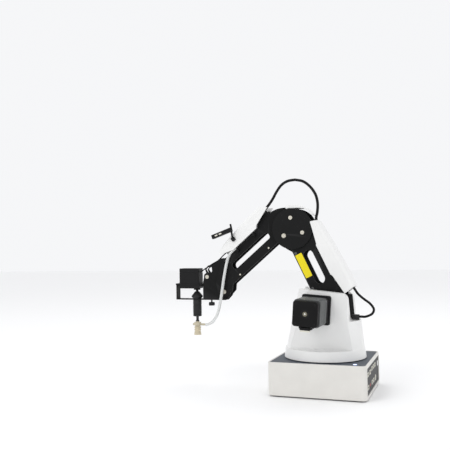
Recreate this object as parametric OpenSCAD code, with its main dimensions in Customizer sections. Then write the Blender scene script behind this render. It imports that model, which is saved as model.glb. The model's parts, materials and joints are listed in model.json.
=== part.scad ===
// Desktop robot arm with a suction tool: turning base, parallel-linkage arm and level wrist.
// Frame: +X is the reach, +Y the arm's left, +Z up, origin under the base's centre on the table.

/* [Base] */
// Side of the square base
base_side = 158; // [152:1:164]
// Height of the base's rim above the table
base_top = 55; // [54:0.5:56]
// Radius of the base's upright corners
base_corner = 9; // [5:1:14]
// Pitch of the mounting bolts under the base, both ways
bolt_pitch = 130; // [120:1:134]
// Diameter of the mounting bolt holes
bolt_hole = 4.3; // [3.3:0.1:5.3]

/* [Arm] */
// Shoulder axis forward of the turning axis
shoulder_x = 5; // [4:0.5:6]
// Height of the shoulder axis
shoulder_z = 137; // [136:0.5:138]
// Shoulder axis to elbow axis
rear_len = 135; // [134:0.5:136]
// Elbow axis to wrist axis
fore_len = 148.5; // [147:0.5:150]
// Lean of the rear arm forward of upright, degrees
rear_tilt = 25.5; // [24:0.5:27]
// Droop of the forearm below level, degrees
fore_drop = 40.5; // [39:0.5:42]
// Side of the triangle that the three elbow pins make
level_side = 32.8; // [32.6:0.1:33]
// Length of the drive crank
crank_len = 38; // [37.5:0.1:38.2]

/* [Motors] */
// Side of the square stepper motors
motor_side = 42.4; // [40:0.2:43]
// How far the motors' end caps stand out from the centre plane
motor_out = 120; // [116:1:124]

/* [Tool] */
// Tool axis forward of the wrist axis
tool_reach = 56.5; // [56:0.5:57]
// Diameter of the tool holder
holder_d = 15.5; // [13:0.5:16]
// Diameter of the suction cup's lip
cup_d = 13.5; // [12.5:0.5:16]

/* [Hidden] */
$fn = 48;
fit = 0.05;                 // radial running clearance of a hinge
plate_t = 2.5;              // arm plates
foot = 2;                   // feet below the bottom plate
wall = 3;                   // base shell wall
skin = 2;                   // arm cover wall
lane_bracket = [5, 7];      // distance from the centre plane to each layer's faces
lane_tail = [5.2, 7.95];
lane_fore = [8, 10.5];
lane_link = [10.9, 13.4];
lane_rear = [13.7, 16.2];
lane_elbow = [16.7, 18.7];
lane_fore_cover = [17, 19];
lane_rear_cover = [19, 21];
cheek_in = 22.5;            // turret cheeks, inner face
cheek_out = 40;             // turret cheeks, outer face
pin_r = 2.5;                // level linkage pins
axle_r = 4;                 // elbow axle
shaft_r = 5;                // shoulder shaft
crank_r = 3;                // pins at the two ends of the drive rod
wrist_r = 3;                // wrist axle
collar_r = 7.8;             // heavy collars at the two ends of the crank pin
elbow_x = shoulder_x + rear_len * sin(rear_tilt);
elbow_z = shoulder_z + rear_len * cos(rear_tilt);
wrist_x = elbow_x + fore_len * cos(fore_drop);
wrist_z = elbow_z - fore_len * sin(fore_drop);
tool_x = wrist_x + tool_reach;
pin_t = level_side * [cos(112), sin(112)];   // upper elbow pin from the elbow axis
pin_r_at = level_side * [cos(171.6), sin(171.6)];   // rear elbow pin
hub = (pin_t + pin_r_at) / 3;   // middle of the three pins
disc_r = 35;                // elbow plates
lobe_r = 48.5;              // rear lobe of the forearm plates
cap_r = [39.6, 41.2];       // elbow cover, inner and outer face
rod_r = 2.4;                // tool rod
cord_r = [2.4, 2, 2.6, 1];  // elbow lead, shoulder lead, air tube, servo lead
crank_dir = 133.5;          // crank direction from its axis, degrees above +X
crank = crank_len * [cos(crank_dir), sin(crank_dir)];
panel_x = -base_side / 2;

// routes of the flexible leads, by hand, in the part's own frame
elbow_lead_route = [[112, 0, 294], [105.5, 0, 301.5], [97, 0, 310.5], [88, 0, 322], [79, 0, 337],
    [70, 0, 348], [59, 0, 354], [46, 0, 355.5], [32, 0, 352], [20, 0, 342.5], [11, 0, 329],
    [7.5, 0, 314], [8.2, 0, 299], [10.5, 0, 288], [8.5, 0, 277.5], [2.5, 0, 264], [-1.5, 0, 256]];
shoulder_lead_route = [[-38, 0, 190], [-45, 0, 178], [-52, 0, 167.5], [-57, 0, 160], [-66, 0, 152],
    [-76, 0, 144.5], [-82, 0, 135.5], [-79, 0, 127.5], [-69, 0, 122.8], [-62, 0, 122.6], [-55, 0, 122.6]];
air_tube_route = [[216.6, 0, 102.6], [211.5, 1, 103.2], [200, 10, 108.5], [190.5, 14.5, 118.5],
    [184.5, 16.6, 131], [180.5, 17, 148.5], [177.3, 17, 166], [174, 16.6, 187], [170, 14.2, 210],
    [166, 13.6, 224], [160, 13.4, 233], [152, 13.4, 240]];
servo_lead_route = [[224.4, 3, 197], [221, 3, 199], [217, 2.5, 202], [213, 2, 204.5], [209, 1, 207],
    [203, 0, 211], [190, 0, 218], [182, 0, 225.5], [173, 0, 233]];

// ---- outlines and frames ----

// points of an arc of radius r that rounds corner b between a and c
function fillet(a, b, c, r, n = 5) =
    let (u = (a - b) / norm(a - b), v = (c - b) / norm(c - b), w = (u + v) / norm(u + v),
         half = acos(u * v) / 2, m = b + w * r / sin(half),
         p = b + u * r / tan(half) - m, q = b + v * r / tan(half) - m,
         a0 = atan2(p.y, p.x), turn = atan2(p.x * q.y - p.y * q.x, p * q))
    [for (i = [0:n]) m + r * [cos(a0 + turn * i / n), sin(a0 + turn * i / n)]];

// an outline from [x, y, corner radius] rows
function rounded(rows) =
    let (n = len(rows), at = [for (p = rows) [p.x, p.y]])
    [for (i = [0:n - 1]) each rows[i].z > 0
        ? fillet(at[(i + n - 1) % n], at[i], at[(i + 1) % n], rows[i].z) : [at[i]]];

function box_outline(x0, x1, y0, y1, r) = rounded([[x0, y0, r], [x1, y0, r], [x1, y1, r], [x0, y1, r]]);

// a straight bar with round ends
module pill(a, b, r) {
    d = b - a;
    translate(a) circle(r);
    translate(b) circle(r);
    translate(a) rotate(atan2(d.y, d.x)) translate([0, -r]) square([norm(d), 2 * r]);
}

// draws a side view, x across and z up, as a plate from y0 to y1
module side(y0, y1) {
    translate([0, y1, 0]) rotate([90, 0, 0]) linear_extrude(y1 - y0) children();
}

// the same layer on the left (s = 1) or the right (s = -1)
module layer(lane, s = 1) {
    side(s > 0 ? lane[0] : -lane[1], s > 0 ? lane[1] : -lane[0]) children();
}

// a pin along Y from y0 to y1
module pin(x, z, r, y0, y1) {
    translate([x, y1, z]) rotate([90, 0, 0]) cylinder(r = r, h = y1 - y0);
}

module at_shoulder() { translate([shoulder_x, 0, shoulder_z]) children(); }
module at_elbow() { translate([elbow_x, 0, elbow_z]) children(); }
module at_wrist() { translate([wrist_x, 0, wrist_z]) children(); }
module in_rear() { at_shoulder() rotate([0, rear_tilt, 0]) children(); }
module in_fore() { at_elbow() rotate([0, fore_drop, 0]) children(); }

// ---- swept leads ----

function unit(v) = v / norm(v);
function blend4(a, b, c, d, t) =
    0.5 * (2 * b + (c - a) * t + (2 * a - 5 * b + 4 * c - d) * t * t + (3 * b - a - 3 * c + d) * t * t * t);
// a smooth path through the points, k steps to each stretch
function smooth(p, k) =
    let (n = len(p))
    [for (i = [0:n - 2], j = [0:k - 1])
        blend4(p[max(i - 1, 0)], p[i], p[i + 1], p[min(i + 2, n - 1)], j / k), p[n - 1]];
module sweep(path, r, sides = 8) {
    n = len(path);
    dir = [for (i = [0:n - 1]) unit(path[min(i + 1, n - 1)] - path[max(i - 1, 0)])];
    out = [for (d = dir) unit(cross(d, [0.31, 1, 0.13]))];
    points = [for (i = [0:n - 1], j = [0:sides - 1])
        let (a = 360 * j / sides) path[i] + r * (cos(a) * out[i] + sin(a) * cross(dir[i], out[i]))];
    skins = [for (i = [0:n - 2], j = [0:sides - 1])
        [i * sides + j, (i + 1) * sides + j, (i + 1) * sides + (j + 1) % sides, i * sides + (j + 1) % sides]];
    ends = [[for (j = [0:sides - 1]) j], [for (j = [sides - 1:-1:0]) (n - 1) * sides + j]];
    polyhedron(points, concat(skins, ends), convexity = 8);
}

// ---- base ----

module square_block(side_w, z0, z1, r) {
    h = side_w / 2;
    translate([0, 0, z0]) linear_extrude(z1 - z0) polygon(box_outline(-h, h, -h, h, r));
}

module base_shell() {
    inner = base_side - 2 * wall;
    color("whitesmoke") difference() {
        square_block(base_side, foot, base_top, base_corner);
        square_block(inner, foot - 1, base_top + 1, base_corner - wall);
        translate([panel_x - 1, -70, 7]) cube([wall + 2, 140, 43]);
    }
}

module bottom_plate() {
    color("dimgray") difference() {
        square_block(base_side - 2 * wall - 0.4, foot, foot + 3, base_corner - wall);
        for (x = [-1, 1], y = [-1, 1])
            translate([x * bolt_pitch / 2, y * bolt_pitch / 2, 0]) cylinder(d = bolt_hole, h = 10);
    }
}

module top_plate() {
    color("slategray") difference() {
        square_block(base_side - 2 * wall - 0.2, base_top - 3.5, base_top - 0.5, base_corner - wall);
        cylinder(r = 30, h = 80);
        translate([-59.5, 63, 0]) cylinder(r = 3, h = 80);
    }
}

module status_light() {
    color("lightcyan") translate([-59.5, 63, base_top - 3.5]) cylinder(r = 2.9, h = 3.5);
}

module rubber_feet() {
    color("black") for (x = [-48, 48], y = [-48, 48])
        translate([x, y, 0]) cylinder(r = 8, h = foot);
}

// one socket in the rear panel: a box with a slot in its face
module socket(y, z, w, h, slot_w, slot_h, out = 1) {
    difference() {
        translate([panel_x + 2 - out, y - w / 2, z - h / 2]) cube([10 + out, w, h]);
        translate([panel_x - 5, y - slot_w / 2, z - slot_h / 2]) cube([13, slot_w, slot_h]);
    }
}

// [y, z, width, height] of each socket
sockets = [[52, 38, 13, 7], [30, 38, 13, 7], [52, 18, 13, 7], [8, 40, 12, 6.5], [-10, 40, 12, 6.5],
    [-28, 40, 12, 6.5], [8, 18, 12, 6.5], [-10, 18, 12, 6.5]];
jack_at = [-32, 18];
button_at = [[-55, 38, 5], [30, 18, 2.5]];   // y, z and radius of the two push buttons

module rear_panel() {
    color("black") difference() {
        translate([panel_x + 1.5, -69.9, 7.1]) cube([2.5, 139.8, 42.8]);
        for (s = sockets) translate([panel_x - 1, s[0] - s[2] / 2, s[1] - s[3] / 2]) cube([9, s[2], s[3]]);
        translate([panel_x - 1, jack_at[0], jack_at[1]]) rotate([0, 90, 0]) cylinder(r = 5, h = 9);
        for (b = button_at)
            translate([panel_x - 1, b[0], b[1]]) rotate([0, 90, 0]) cylinder(r = b[2] + 0.3, h = 9);
    }
}

module panel_sockets() {
    color("gainsboro") {
        for (s = sockets) socket(s[0], s[1], s[2], s[3], s[2] - 2.4, 3.6);
        translate([panel_x + 1, jack_at[0], jack_at[1]]) rotate([0, 90, 0]) difference() {
            cylinder(r = 5, h = 11);
            translate([0, 0, -1]) cylinder(r = 2.7, h = 10);
            }
    }
}

module push_button(b, out, deep) {
    translate([panel_x + 1.5 - out, b[0], b[1]]) rotate([0, 90, 0]) cylinder(r = b[2], h = out + deep);
}
module power_button() { color("silver") push_button(button_at[0], 1.2, 5); }
module reset_button() { color("red") push_button(button_at[1], 0.6, 4); }

module control_board() {
    color("green") {
        translate([-64, -66, 9]) cube([34, 132, 1.6]);
        for (y = [-50, -14, 24]) translate([-52, y, 10.6]) cube([14, 20, 5]);
        for (y = [-60, 60]) translate([-50, y, foot + 3]) cylinder(r = 3, h = 4);
    }
}

module base_motor() {
    h = motor_side / 2;
    color("dimgray") difference() {
        union() {
            translate([-h, -h, foot + 3]) cube([motor_side, motor_side, 38]);
            translate([0, 0, foot + 40]) cylinder(r = 11, h = 3);
            translate([0, 0, foot + 40]) cylinder(r = 2.5, h = 14);
        }
        for (x = [-1, 1], y = [-1, 1]) translate([x * 15.5, y * 15.5, 36]) cylinder(r = 1.5, h = 12);
    }
}

// ---- turret ----

ring_z = base_top + 1;      // underside of the turret shell
ledge_z = 72;
roof_z = 174;
step_z = 118;               // floor of the notch behind the arm

// solid form of the turret, drawn in by t on every wall
module turret_form(t) {
    translate([0, 0, ring_z - (t > 0 ? 1 : 0)])
        cylinder(r1 = 68 - t, r2 = 66 - t, h = ledge_z - t - ring_z + (t > 0 ? 1 : 0), $fn = 96);
    intersection() {
        union() {
            translate([0, 0, 60]) cylinder(r1 = 66.5 - t, r2 = 42.5 - t, h = roof_z - 60, $fn = 96);
            intersection() {
                union() {
                    translate([0, 0, 60]) cylinder(r1 = 66.8 - t, r2 = 60.5 - t, h = step_z - 60, $fn = 96);
                    translate([0, 0, 100]) cylinder(r = 60.5 - t, h = roof_z - 100, $fn = 96);
                }
                translate([-95, -50, 55]) cube([100, 100, 130]);
            }
        }
        side(-cheek_out + t, cheek_out - t) polygon(rounded([[-72, 60, 0], [72, 60, 0], [46, 171.5 - t, 4],
            [-44.5 + t, 162 - t, 11], [-47.5 + t, step_z - 0.5 - t, 0], [-72, step_z - 0.5 - t, 0]]));
    }
}

// the room that the arm moves in, grown by t
module arm_well(t) {
    y = cheek_in + t;
    side(-y, y) polygon([[-42 - t, 108 - t], [36 + t, 108 - t], [36 + t, 142 - t], [90, 142 - t],
        [90, 200], [-90, 200], [-90, step_z - t], [-42 - t, step_z - t]]);
}

module turret_shell() {
    color("white") difference() {
        turret_form(0);
        arm_well(0);
        difference() {
            turret_form(2.5);
            arm_well(2.5);
        }
        pin(shoulder_x, shoulder_z, 7, -80, 80);
        pin(shoulder_x + pin_r_at.x, shoulder_z + pin_r_at.y, 3, -cheek_in - 4, 0);
    }
}

module turntable() {
    color("gray") difference() {
        union() {
            translate([0, 0, base_top + 0.3]) cylinder(r = 64, h = 4, $fn = 96);
            translate([0, 0, base_top - 8]) cylinder(r = 29.6, h = 10);
        }
        translate([0, 0, 20]) cylinder(r = 2.5 + fit, h = 60);
    }
}

module turret_frame() {
    color("darkgray") for (s = [-1, 1]) difference() {
        translate([0, s * 32, 0]) union() {
            translate([-22, -3, base_top + 4.3]) cube([50, 6, 88]);
            translate([-22, -10, base_top + 4.3]) cube([50, 20, 4]);
        }
        pin(shoulder_x, shoulder_z, shaft_r, -60, 60);
    }
}

module shoulder_shaft() {
    color("silver") pin(shoulder_x, shoulder_z, shaft_r, -36, 36);
}

// a motor's outline turned a little about its own axis
module motor_square(h, cut) {
    c = h - cut;
    rotate(4.3) polygon([[-h, -c], [-c, -h], [c, -h], [h, -c], [h, c], [c, h], [-c, h], [-h, c]]);
}
module motor_slice(s, y0, y1, h, cut) {
    at_shoulder() side(min(s * y0, s * y1), max(s * y0, s * y1)) motor_square(h, cut);
}
stack_in = 62;              // distances from the centre plane along a motor
stack_out = motor_out - 11;

module gearbox(s) {
    color("black") difference() {
        union() {
            motor_slice(s, cheek_out, cheek_out + 5, motor_side / 2 + 2.6, 3);
            motor_slice(s, cheek_out + 5, stack_in, motor_side / 2 - 0.8, 4);
        }
        at_shoulder() pin(0, 0, shaft_r, -80, 80);
    }
}
module motor_stack(s) {
    color("silver") motor_slice(s, stack_in, stack_out, motor_side / 2, 4.5);
}
module motor_cap(s) {
    color("#202020") difference() {
        motor_slice(s, stack_out, motor_out, motor_side / 2 - 1.6, 2.5);
        pin(shoulder_x, shoulder_z, 3.6, s > 0 ? motor_out - 2 : -motor_out - 1, s > 0 ? motor_out + 1 : 2 - motor_out);
    }
}
module left_gearbox() { gearbox(1); }
module right_gearbox() { gearbox(-1); }
module left_motor() { motor_stack(1); }
module right_motor() { motor_stack(-1); }
module left_motor_cap() { motor_cap(1); }
module right_motor_cap() { motor_cap(-1); }

module motor_plugs() {
    color("ivory") for (s = [-1, 1]) at_shoulder() rotate([0, -4.3, 0])
        translate([-8, s > 0 ? motor_out - 11 : 11 - motor_out - 10, -motor_side / 2 - 6.4]) cube([15, 10, 6.4]);
}

module motor_screws() {
    color("silver") for (s = [-1, 1]) at_shoulder() rotate([0, -4.3, 0]) {
        pin(0, 0, 3.5, s > 0 ? motor_out - 2 : -motor_out, s > 0 ? motor_out : 2 - motor_out);
        for (x = [-14.5, 14.5], z = [-14.5, 14.5])
            pin(x, z, 1.6, s > 0 ? motor_out : -motor_out - 0.4, s > 0 ? motor_out + 0.4 : -motor_out);
    }
}

// the pin on the turret that the rear level link swings on
module link_anchor() {
    color("silver") translate([shoulder_x + pin_r_at.x, 0, shoulder_z + pin_r_at.y]) {
        pin(0, 0, pin_r, -cheek_in - 3, -lane_link[0] + 0.2);
        pin(0, 0, pin_r + 2, -cheek_in, -lane_rear[1] - 0.6);
    }
}

// dark lining on the inner face of each cheek, and the gland that the shoulder lead goes into
module notch_cover() {
    color("#3a3a3a") {
        for (s = [-1, 1]) layer([cheek_in - 1.1, cheek_in], s)
            polygon([[-33, step_z + 0.3], [-47, step_z + 0.3], [-44.2, 158], [-33, 158]]);
        translate([-58, -4, step_z]) difference() {
            cube([12, 8, 8]);
            translate([-1, 4, 4.6]) rotate([0, 90, 0]) cylinder(r = cord_r[1] + 0.2, h = 14);
        }
    }
}

// ---- rear arm: x forward of its axis line, z along it ----

rear_slot = [[-22.8, 43.5], [-22.8, 86.8]];
rear_slot_r = 8.7;
rear_screws = [[-4.5, 34], [-4.5, 99], [-46.5, 30], [-46.8, 101]];

module rear_outline() {
    difference() {
        union() {
            polygon(rounded([[-0.5, 0, 0], [-0.5, 104, 4], [7, 114, 4], [4, 128, 0], [-38, 121, 0],
                [-47.5, 119, 3], [-45.2, 98, 1], [-43.2, 95.5, 1], [-43.2, 42, 1], [-45.4, 38.5, 1],
                [-49.6, 3, 2], [-48, -3, 2], [-37, -7, 2], [-22, -2, 0], [-8, 6, 0]]));
            circle(20);
        }
        translate([0, rear_len]) intersection() {
            circle(level_side + pin_r + 0.6);
            polygon(80 * [[0, 0], [-cos(62.4), -sin(62.4)], [-1, -0.3], [-1, 1], [0, 1]]);
        }
        // room for the link anchor
        for (a = [-75:4:9]) translate(level_side * [-cos(a), sin(a)]) circle(pin_r + 0.7, $fn = 24);
        pill(rear_slot[0], rear_slot[1], rear_slot_r);
    }
    translate([0, rear_len]) circle(15);
}

module rear_plate(s) {
    color("#2b2d2f") in_rear() difference() {
        layer(lane_rear, s) rear_outline();
        pin(0, 0, shaft_r + fit, -30, 30);
        pin(0, rear_len, axle_r + fit, -30, 30);
        for (p = rear_screws) pin(p.x, p.y, 1.5, -30, 30);
    }
}
module rear_plate_left() { rear_plate(1); }
module rear_plate_right() { rear_plate(-1); }

// a spacer between two plates with a screw head outside each
module spacer(p, lane, r, out) {
    pin(p.x, p.y, r, -lane[0], lane[0]);
    pin(p.x, p.y, 1.5, -lane[1], lane[1]);
    for (s = [-1, 1]) pin(p.x, p.y, 2.4, s > 0 ? lane[1] : -lane[1] - out, s > 0 ? lane[1] + out : -lane[1]);
}
module rear_spacers() {
    color("silver") in_rear() {
        for (i = [0, 1]) spacer(rear_screws[i], lane_rear, 2.8, 0.4);
        for (i = [2, 3]) spacer(rear_screws[i], lane_rear, 2.8, lane_rear_cover[0] - lane_rear[1]);
    }
}

// a channel-shaped cover: outer side view, inner side view, half width
module cover_shell(lane) {
    difference() {
        side(-lane[1], lane[1]) children(0);
        side(-lane[0], lane[0]) children(1);
    }
}
rear_top = [-62, 133.5];
module rear_cover() {
    color("white") in_rear() cover_shell(lane_rear_cover) {
        polygon(rounded([[-44.5, 98, 1], [-42.8, 95.5, 1], [-42.8, 42, 1], [-45, 38, 1], [-50, 3.5, 3],
            [-68, 7, 5], [-70, 14, 10], [-68.5, 72, 60], [rear_top.x - 1, rear_top.y - 1, 4], [-51.5, 136, 2]]));
        polygon(rounded([[-30, 98, 0], [-30, 0, 0], [-67, 0, 0], [-67.5, 20, 8], [-66.3, 72, 60],
            [rear_top.x + 1, rear_top.y + 8, 0], [-30, 150, 0]]));
    }
}

module arm_label() {
    color("gold") in_rear() side(lane_rear[1], lane_rear[1] + 0.2)
        polygon(box_outline(-14, -2, 53.5, 96, 1.5));
}

// ---- elbow: level plate that carries three pins ----

module elbow_plate(s) {
    color("#2b2d2f") at_elbow() difference() {
        layer(lane_elbow, s) translate(hub) circle(disc_r, $fn = 96);
        pin(0, 0, axle_r, -30, 30);
        for (p = [pin_t, pin_r_at]) pin(p.x, p.y, pin_r, -30, 30);
    }
}
module elbow_plate_left() { elbow_plate(1); }
module elbow_plate_right() { elbow_plate(-1); }

module elbow_pins() {
    o = lane_elbow[1];
    color("silver") at_elbow() {
        for (s = [-1, 1]) pin(0, 0, axle_r, s > 0 ? 5 : -o, s > 0 ? o : -5);
        pin(pin_t.x, pin_t.y, pin_r, -o, -0.8);
        pin(pin_r_at.x, pin_r_at.y, pin_r, -o, -lane_link[0] + 0.2);
        for (p = [pin_t, pin_r_at]) pin(p.x, p.y, pin_r, lane_elbow[0], o);
        for (p = [[0, 0], pin_t, pin_r_at], s = [-1, 1])
            pin(p.x, p.y, 3.4, s > 0 ? o : -o - 1.5, s > 0 ? o + 1.5 : -o);
    }
}

// curved cover between the elbow plates, with a tab to each
module arc_strip(r0, r1, a0, a1) {
    n = 14;
    polygon(concat([for (i = [0:n]) let (a = a0 + (a1 - a0) * i / n) r1 * [cos(a), sin(a)]],
        [for (i = [n:-1:0]) let (a = a0 + (a1 - a0) * i / n) r0 * [cos(a), sin(a)]]));
}
cap_half = lane_elbow[0];   // half the elbow cover's width
module elbow_cap() {
    color("white") at_elbow() {
        side(-cap_half, cap_half) translate(hub) arc_strip(cap_r[0], cap_r[1], 72, 146);
        for (s = [-1, 1]) layer([cap_half - 2.6, cap_half], s)
            translate(hub) arc_strip(disc_r - 2, cap_r[1], 84, 98);
    }
}

// ---- level links and drive linkage ----

// a bar from a to b; half is half its width, and each end has its own [boss radius, bore radius]
module link_bar(a, b, half, end_a, end_b, y0, y1) {
    difference() {
        side(y0, y1) union() {
            pill(a, b, half);
            translate(a) circle(end_a[0]);
            translate(b) circle(end_b[0]);
        }
        pin(a.x, a.y, end_a[1] + fit, y0 - 1, y1 + 1);
        pin(b.x, b.y, end_b[1] + fit, y0 - 1, y1 + 1);
    }
}
shoulder_at = [shoulder_x, shoulder_z];
elbow_at = [elbow_x, elbow_z];
wrist_at = [wrist_x, wrist_z];

module rear_level_link() {
    color("#2b2d2f") link_bar(shoulder_at + pin_r_at, elbow_at + pin_r_at, 3.8, [5.4, pin_r], [5.4, pin_r],
        -lane_link[1], -lane_link[0]);
}
module front_level_link() {
    color("#2b2d2f") link_bar(elbow_at + pin_t, wrist_at + pin_t, 2.7, [5.2, pin_r], [5.2, pin_r], -4.5, -1);
}
module drive_crank() {
    color("darkgray")
        link_bar(shoulder_at, shoulder_at + crank, 5, [9, shaft_r], [5.5, crank_r], lane_tail[0], lane_tail[1]);
}
module crank_pin() {
    color("silver") translate([shoulder_x + crank.x, 0, shoulder_z + crank.y]) {
        pin(0, 0, crank_r, -5, 12.5);
        pin(0, 0, collar_r, -5, 0.9);
        pin(0, 0, collar_r, lane_tail[1] + 0.3, 12.5);
    }
}
module drive_rod() {
    color("#2b2d2f") link_bar(shoulder_at + crank, elbow_at + crank, 3.6, [5.4, crank_r], [5.4, crank_r], 1.2, 4.8);
}

// ---- forearm: x along its axis line, z above it ----

fore_screws = [[35.5, 3.6], [105.4, 3.2]];
fore_struts = [[40, 37.5], [80, 37.5]];

// lobe: how far round the elbow the plate's rear lobe reaches, degrees
module fore_outline(lobe) {
    difference() {
        union() {
            polygon(rounded([[6, -10, 0], [17, -0.6, 2], [127, -0.6, 4], [135, -8.5, 4], [146, -9.7, 0],
                [154, -8, 5], [159, 4, 6], [150, 22, 12], [124, 40, 14], [114, 43, 6], [28, 43, 1],
                [24.5, 46.5, 1], [14, 44, 6], [-9, 21, 6], [-12, 0, 0]]));
            circle(16.5);
            arc_strip(8, lobe_r, 62.7, lobe);
            arc_strip(8, 56, 62.7, 94);
        }
        pill([26.7, 21.2], [101.3, 21.2], 6.7);
    }
}
module fore_plate(s) {
    color("#2b2d2f") in_fore() difference() {
        layer(lane_fore, s) fore_outline(s > 0 ? 150 : 110);
        pin(0, 0, axle_r + fit, -30, 30);
        pin(fore_len, 0, wrist_r + fit, -30, 30);
        for (p = concat(fore_screws, fore_struts)) pin(p.x, p.y, 1.5, -30, 30);
    }
}
module fore_plate_left() { fore_plate(1); }
module fore_plate_right() { fore_plate(-1); }

module fore_spacers() {
    color("silver") in_fore() {
        for (p = fore_struts) spacer(p, lane_fore, 2.6, lane_fore_cover[0] - lane_fore[1]);
        for (p = fore_screws, s = [-1, 1]) {
            y = s > 0 ? lane_fore : [-lane_fore[1], -lane_fore[0]];
            pin(p.x, p.y, 1.5, y[0] - 1, y[1] + 1);
            pin(p.x, p.y, 2.3, s > 0 ? y[1] : y[0] - 1, s > 0 ? y[1] + 1 : y[0]);
            pin(p.x, p.y, 2.6, s > 0 ? y[0] - 2 : y[1], s > 0 ? y[0] : y[1] + 2);
        }
    }
}

// the tail behind the elbow that the drive rod pulls
module fore_tail() {
    color("darkgray") {
        link_bar(elbow_at, elbow_at + crank, 5, [9, axle_r], [5.5, crank_r - fit], lane_tail[0], lane_tail[1]);
        pin(elbow_x + crank.x, elbow_z + crank.y, crank_r, 1, lane_tail[1]);
    }
}

module fore_cover() {
    color("white") in_fore() cover_shell(lane_fore_cover) {
        polygon(rounded([[-11, 56.5, 2], [1.5, 68.6, 5], [46.5, 67.6, 60], [96, 62.5, 8], [108.5, 56.5, 3],
            [107.5, 51.5, 1], [84, 42.5, 2], [28, 42.5, 1], [24, 46.5, 2]]));
        polygon(rounded([[-18, 53, 0], [-14, 60, 0], [2.3, 66.4, 4], [46.3, 65.4, 60], [95.5, 60.4, 8],
            [112, 53, 0], [112, 30, 0], [0, 30, 0]]));
    }
}

module plug_clip() {
    color("black") in_fore() side(lane_fore_cover[1], 22) polygon(box_outline(68, 75, 52.5, 60, 1.5));
}
module signal_plug() {
    color("#222222") in_fore() {
        side(22, 24.4) pill([71.3, 56.5], [62.5, 71.2], 1.4);
        side(19.6, 26.6) polygon(rounded([[60.1, 73.6, 1], [62.9, 66.6, 1], [99.4, 80.5, 1], [96.7, 87.4, 1]]));
    }
}

// ---- wrist: level bracket, servo and clamp ----

bracket_z = -13.2;          // floor's upper face, from the wrist axis
servo_box = [49, 87, 5.3, 41.6];
ear = [33.6, 26.2];         // bracket's front ear, from the wrist axis
clamp_x = 28.2;             // clamp screw, forward of the wrist axis
module bracket_side() {
    difference() {
        union() {
            polygon(rounded([[-10.5, -6, 6], [-2, -15, 3], [42, -15, 0], [42, 16, 3], [40, 24, 0],
                [39.5, 31, 5], [35.2, 33.2, 0], [37.6, 39, 2], [32, 46.6, 4], [23.5, 48, 3], [16, 52.5, 8],
                [10, 58.5, 4], [-1, 60, 4], [-5, 46, 6], [-9, 36, 6], [-14, 28, 4], [-12, 16, 8], [-10, 8, 6]]));
            translate(pin_t) circle(5.6);
        }
        polygon(rounded([[24, 35, 2], [31.5, 33.6, 1], [35.5, 40, 1], [31, 43.8, 2], [24.6, 44, 2]]));
    }
}
module wrist_bracket() {
    floor_t = 1.8;
    color("#2b2d2f") at_wrist() difference() {
        union() {
            for (s = [-1, 1]) layer(lane_bracket, s) bracket_side();
            translate([20, -7, bracket_z - floor_t]) cube([75, 14, floor_t]);
            translate([93, -7, bracket_z - floor_t]) cube([2, 14, 26.5]);
            translate([87.3, -7, 9.7]) cube([7.7, 14, 2]);
            translate([38, -7, 9.7]) cube([9, 14, 2]);
        }
        pin(0, 0, wrist_r, -30, 30);
        for (p = [pin_t, ear]) pin(p.x, p.y, pin_r, -30, 30);
        translate([tool_reach, 0, -30]) cylinder(d = holder_d - 3 + 2 * fit, h = 30);
        translate([clamp_x, 0, -30]) cylinder(r = 1.5, h = 30);
        for (x = tab_screws) translate([x, 0, 5]) cylinder(r = 1.4, h = 12);
    }
}

// wrist axle, the pin of the level link and the ear's pin
module wrist_pins() {
    axle_y = lane_fore[1] + 0.2;
    color("silver") at_wrist() {
        pin(0, 0, wrist_r, -axle_y - 1.5, axle_y + 1.5);
        for (s = [-1, 1]) pin(0, 0, 3.8, s > 0 ? axle_y : -axle_y - 1.5, s > 0 ? axle_y + 1.5 : -axle_y);
        for (p = [pin_t, ear]) pin(p.x, p.y, pin_r, -7, 7);
        for (s = [-1, 1]) pin(ear.x, ear.y, 3.4, s > 0 ? 7 : -8.4, s > 0 ? 8.4 : -7);
        for (y = [-7.9, 7]) pin(pin_t.x, pin_t.y, 3.6, y, y + 0.9);
    }
}

tab_screws = [44.7, 91];
module servo() {
    b = servo_box;
    color("#26282a") at_wrist() {
        difference() {
            union() {
                translate([b[0], -10, b[2]]) cube([b[1] - b[0], 20, b[3] - b[2]]);
                translate([42.3, -9.5, 11.7]) cube([52.7, 19, 2.6]);
            }
            for (x = tab_screws) translate([x, 0, 5]) cylinder(r = 1.4, h = 12);
        }
        for (x = tab_screws) translate([x, 0, 9]) cylinder(r = 1.35, h = 6.6);
    }
}

module servo_horn() {
    color("ivory") at_wrist() translate([tool_reach, 0, 0]) {
        translate([0, 0, 2.6]) cylinder(r = 6, h = 2.4);
        translate([0, 0, -2]) cylinder(r = 2.4, h = 5);
    }
}

module thumb_screw() {
    color("black") at_wrist() translate([clamp_x, 0, 0]) {
        translate([0, 0, -25.5]) cylinder(r = 5.3, h = 6.3);
        translate([0, 0, -20]) cylinder(r = 1.5 - fit, h = 10);
    }
}

// ---- tool, along its own axis down from the wrist ----

module down(z) { at_wrist() translate([tool_reach, 0, z]) children(); }

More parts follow.
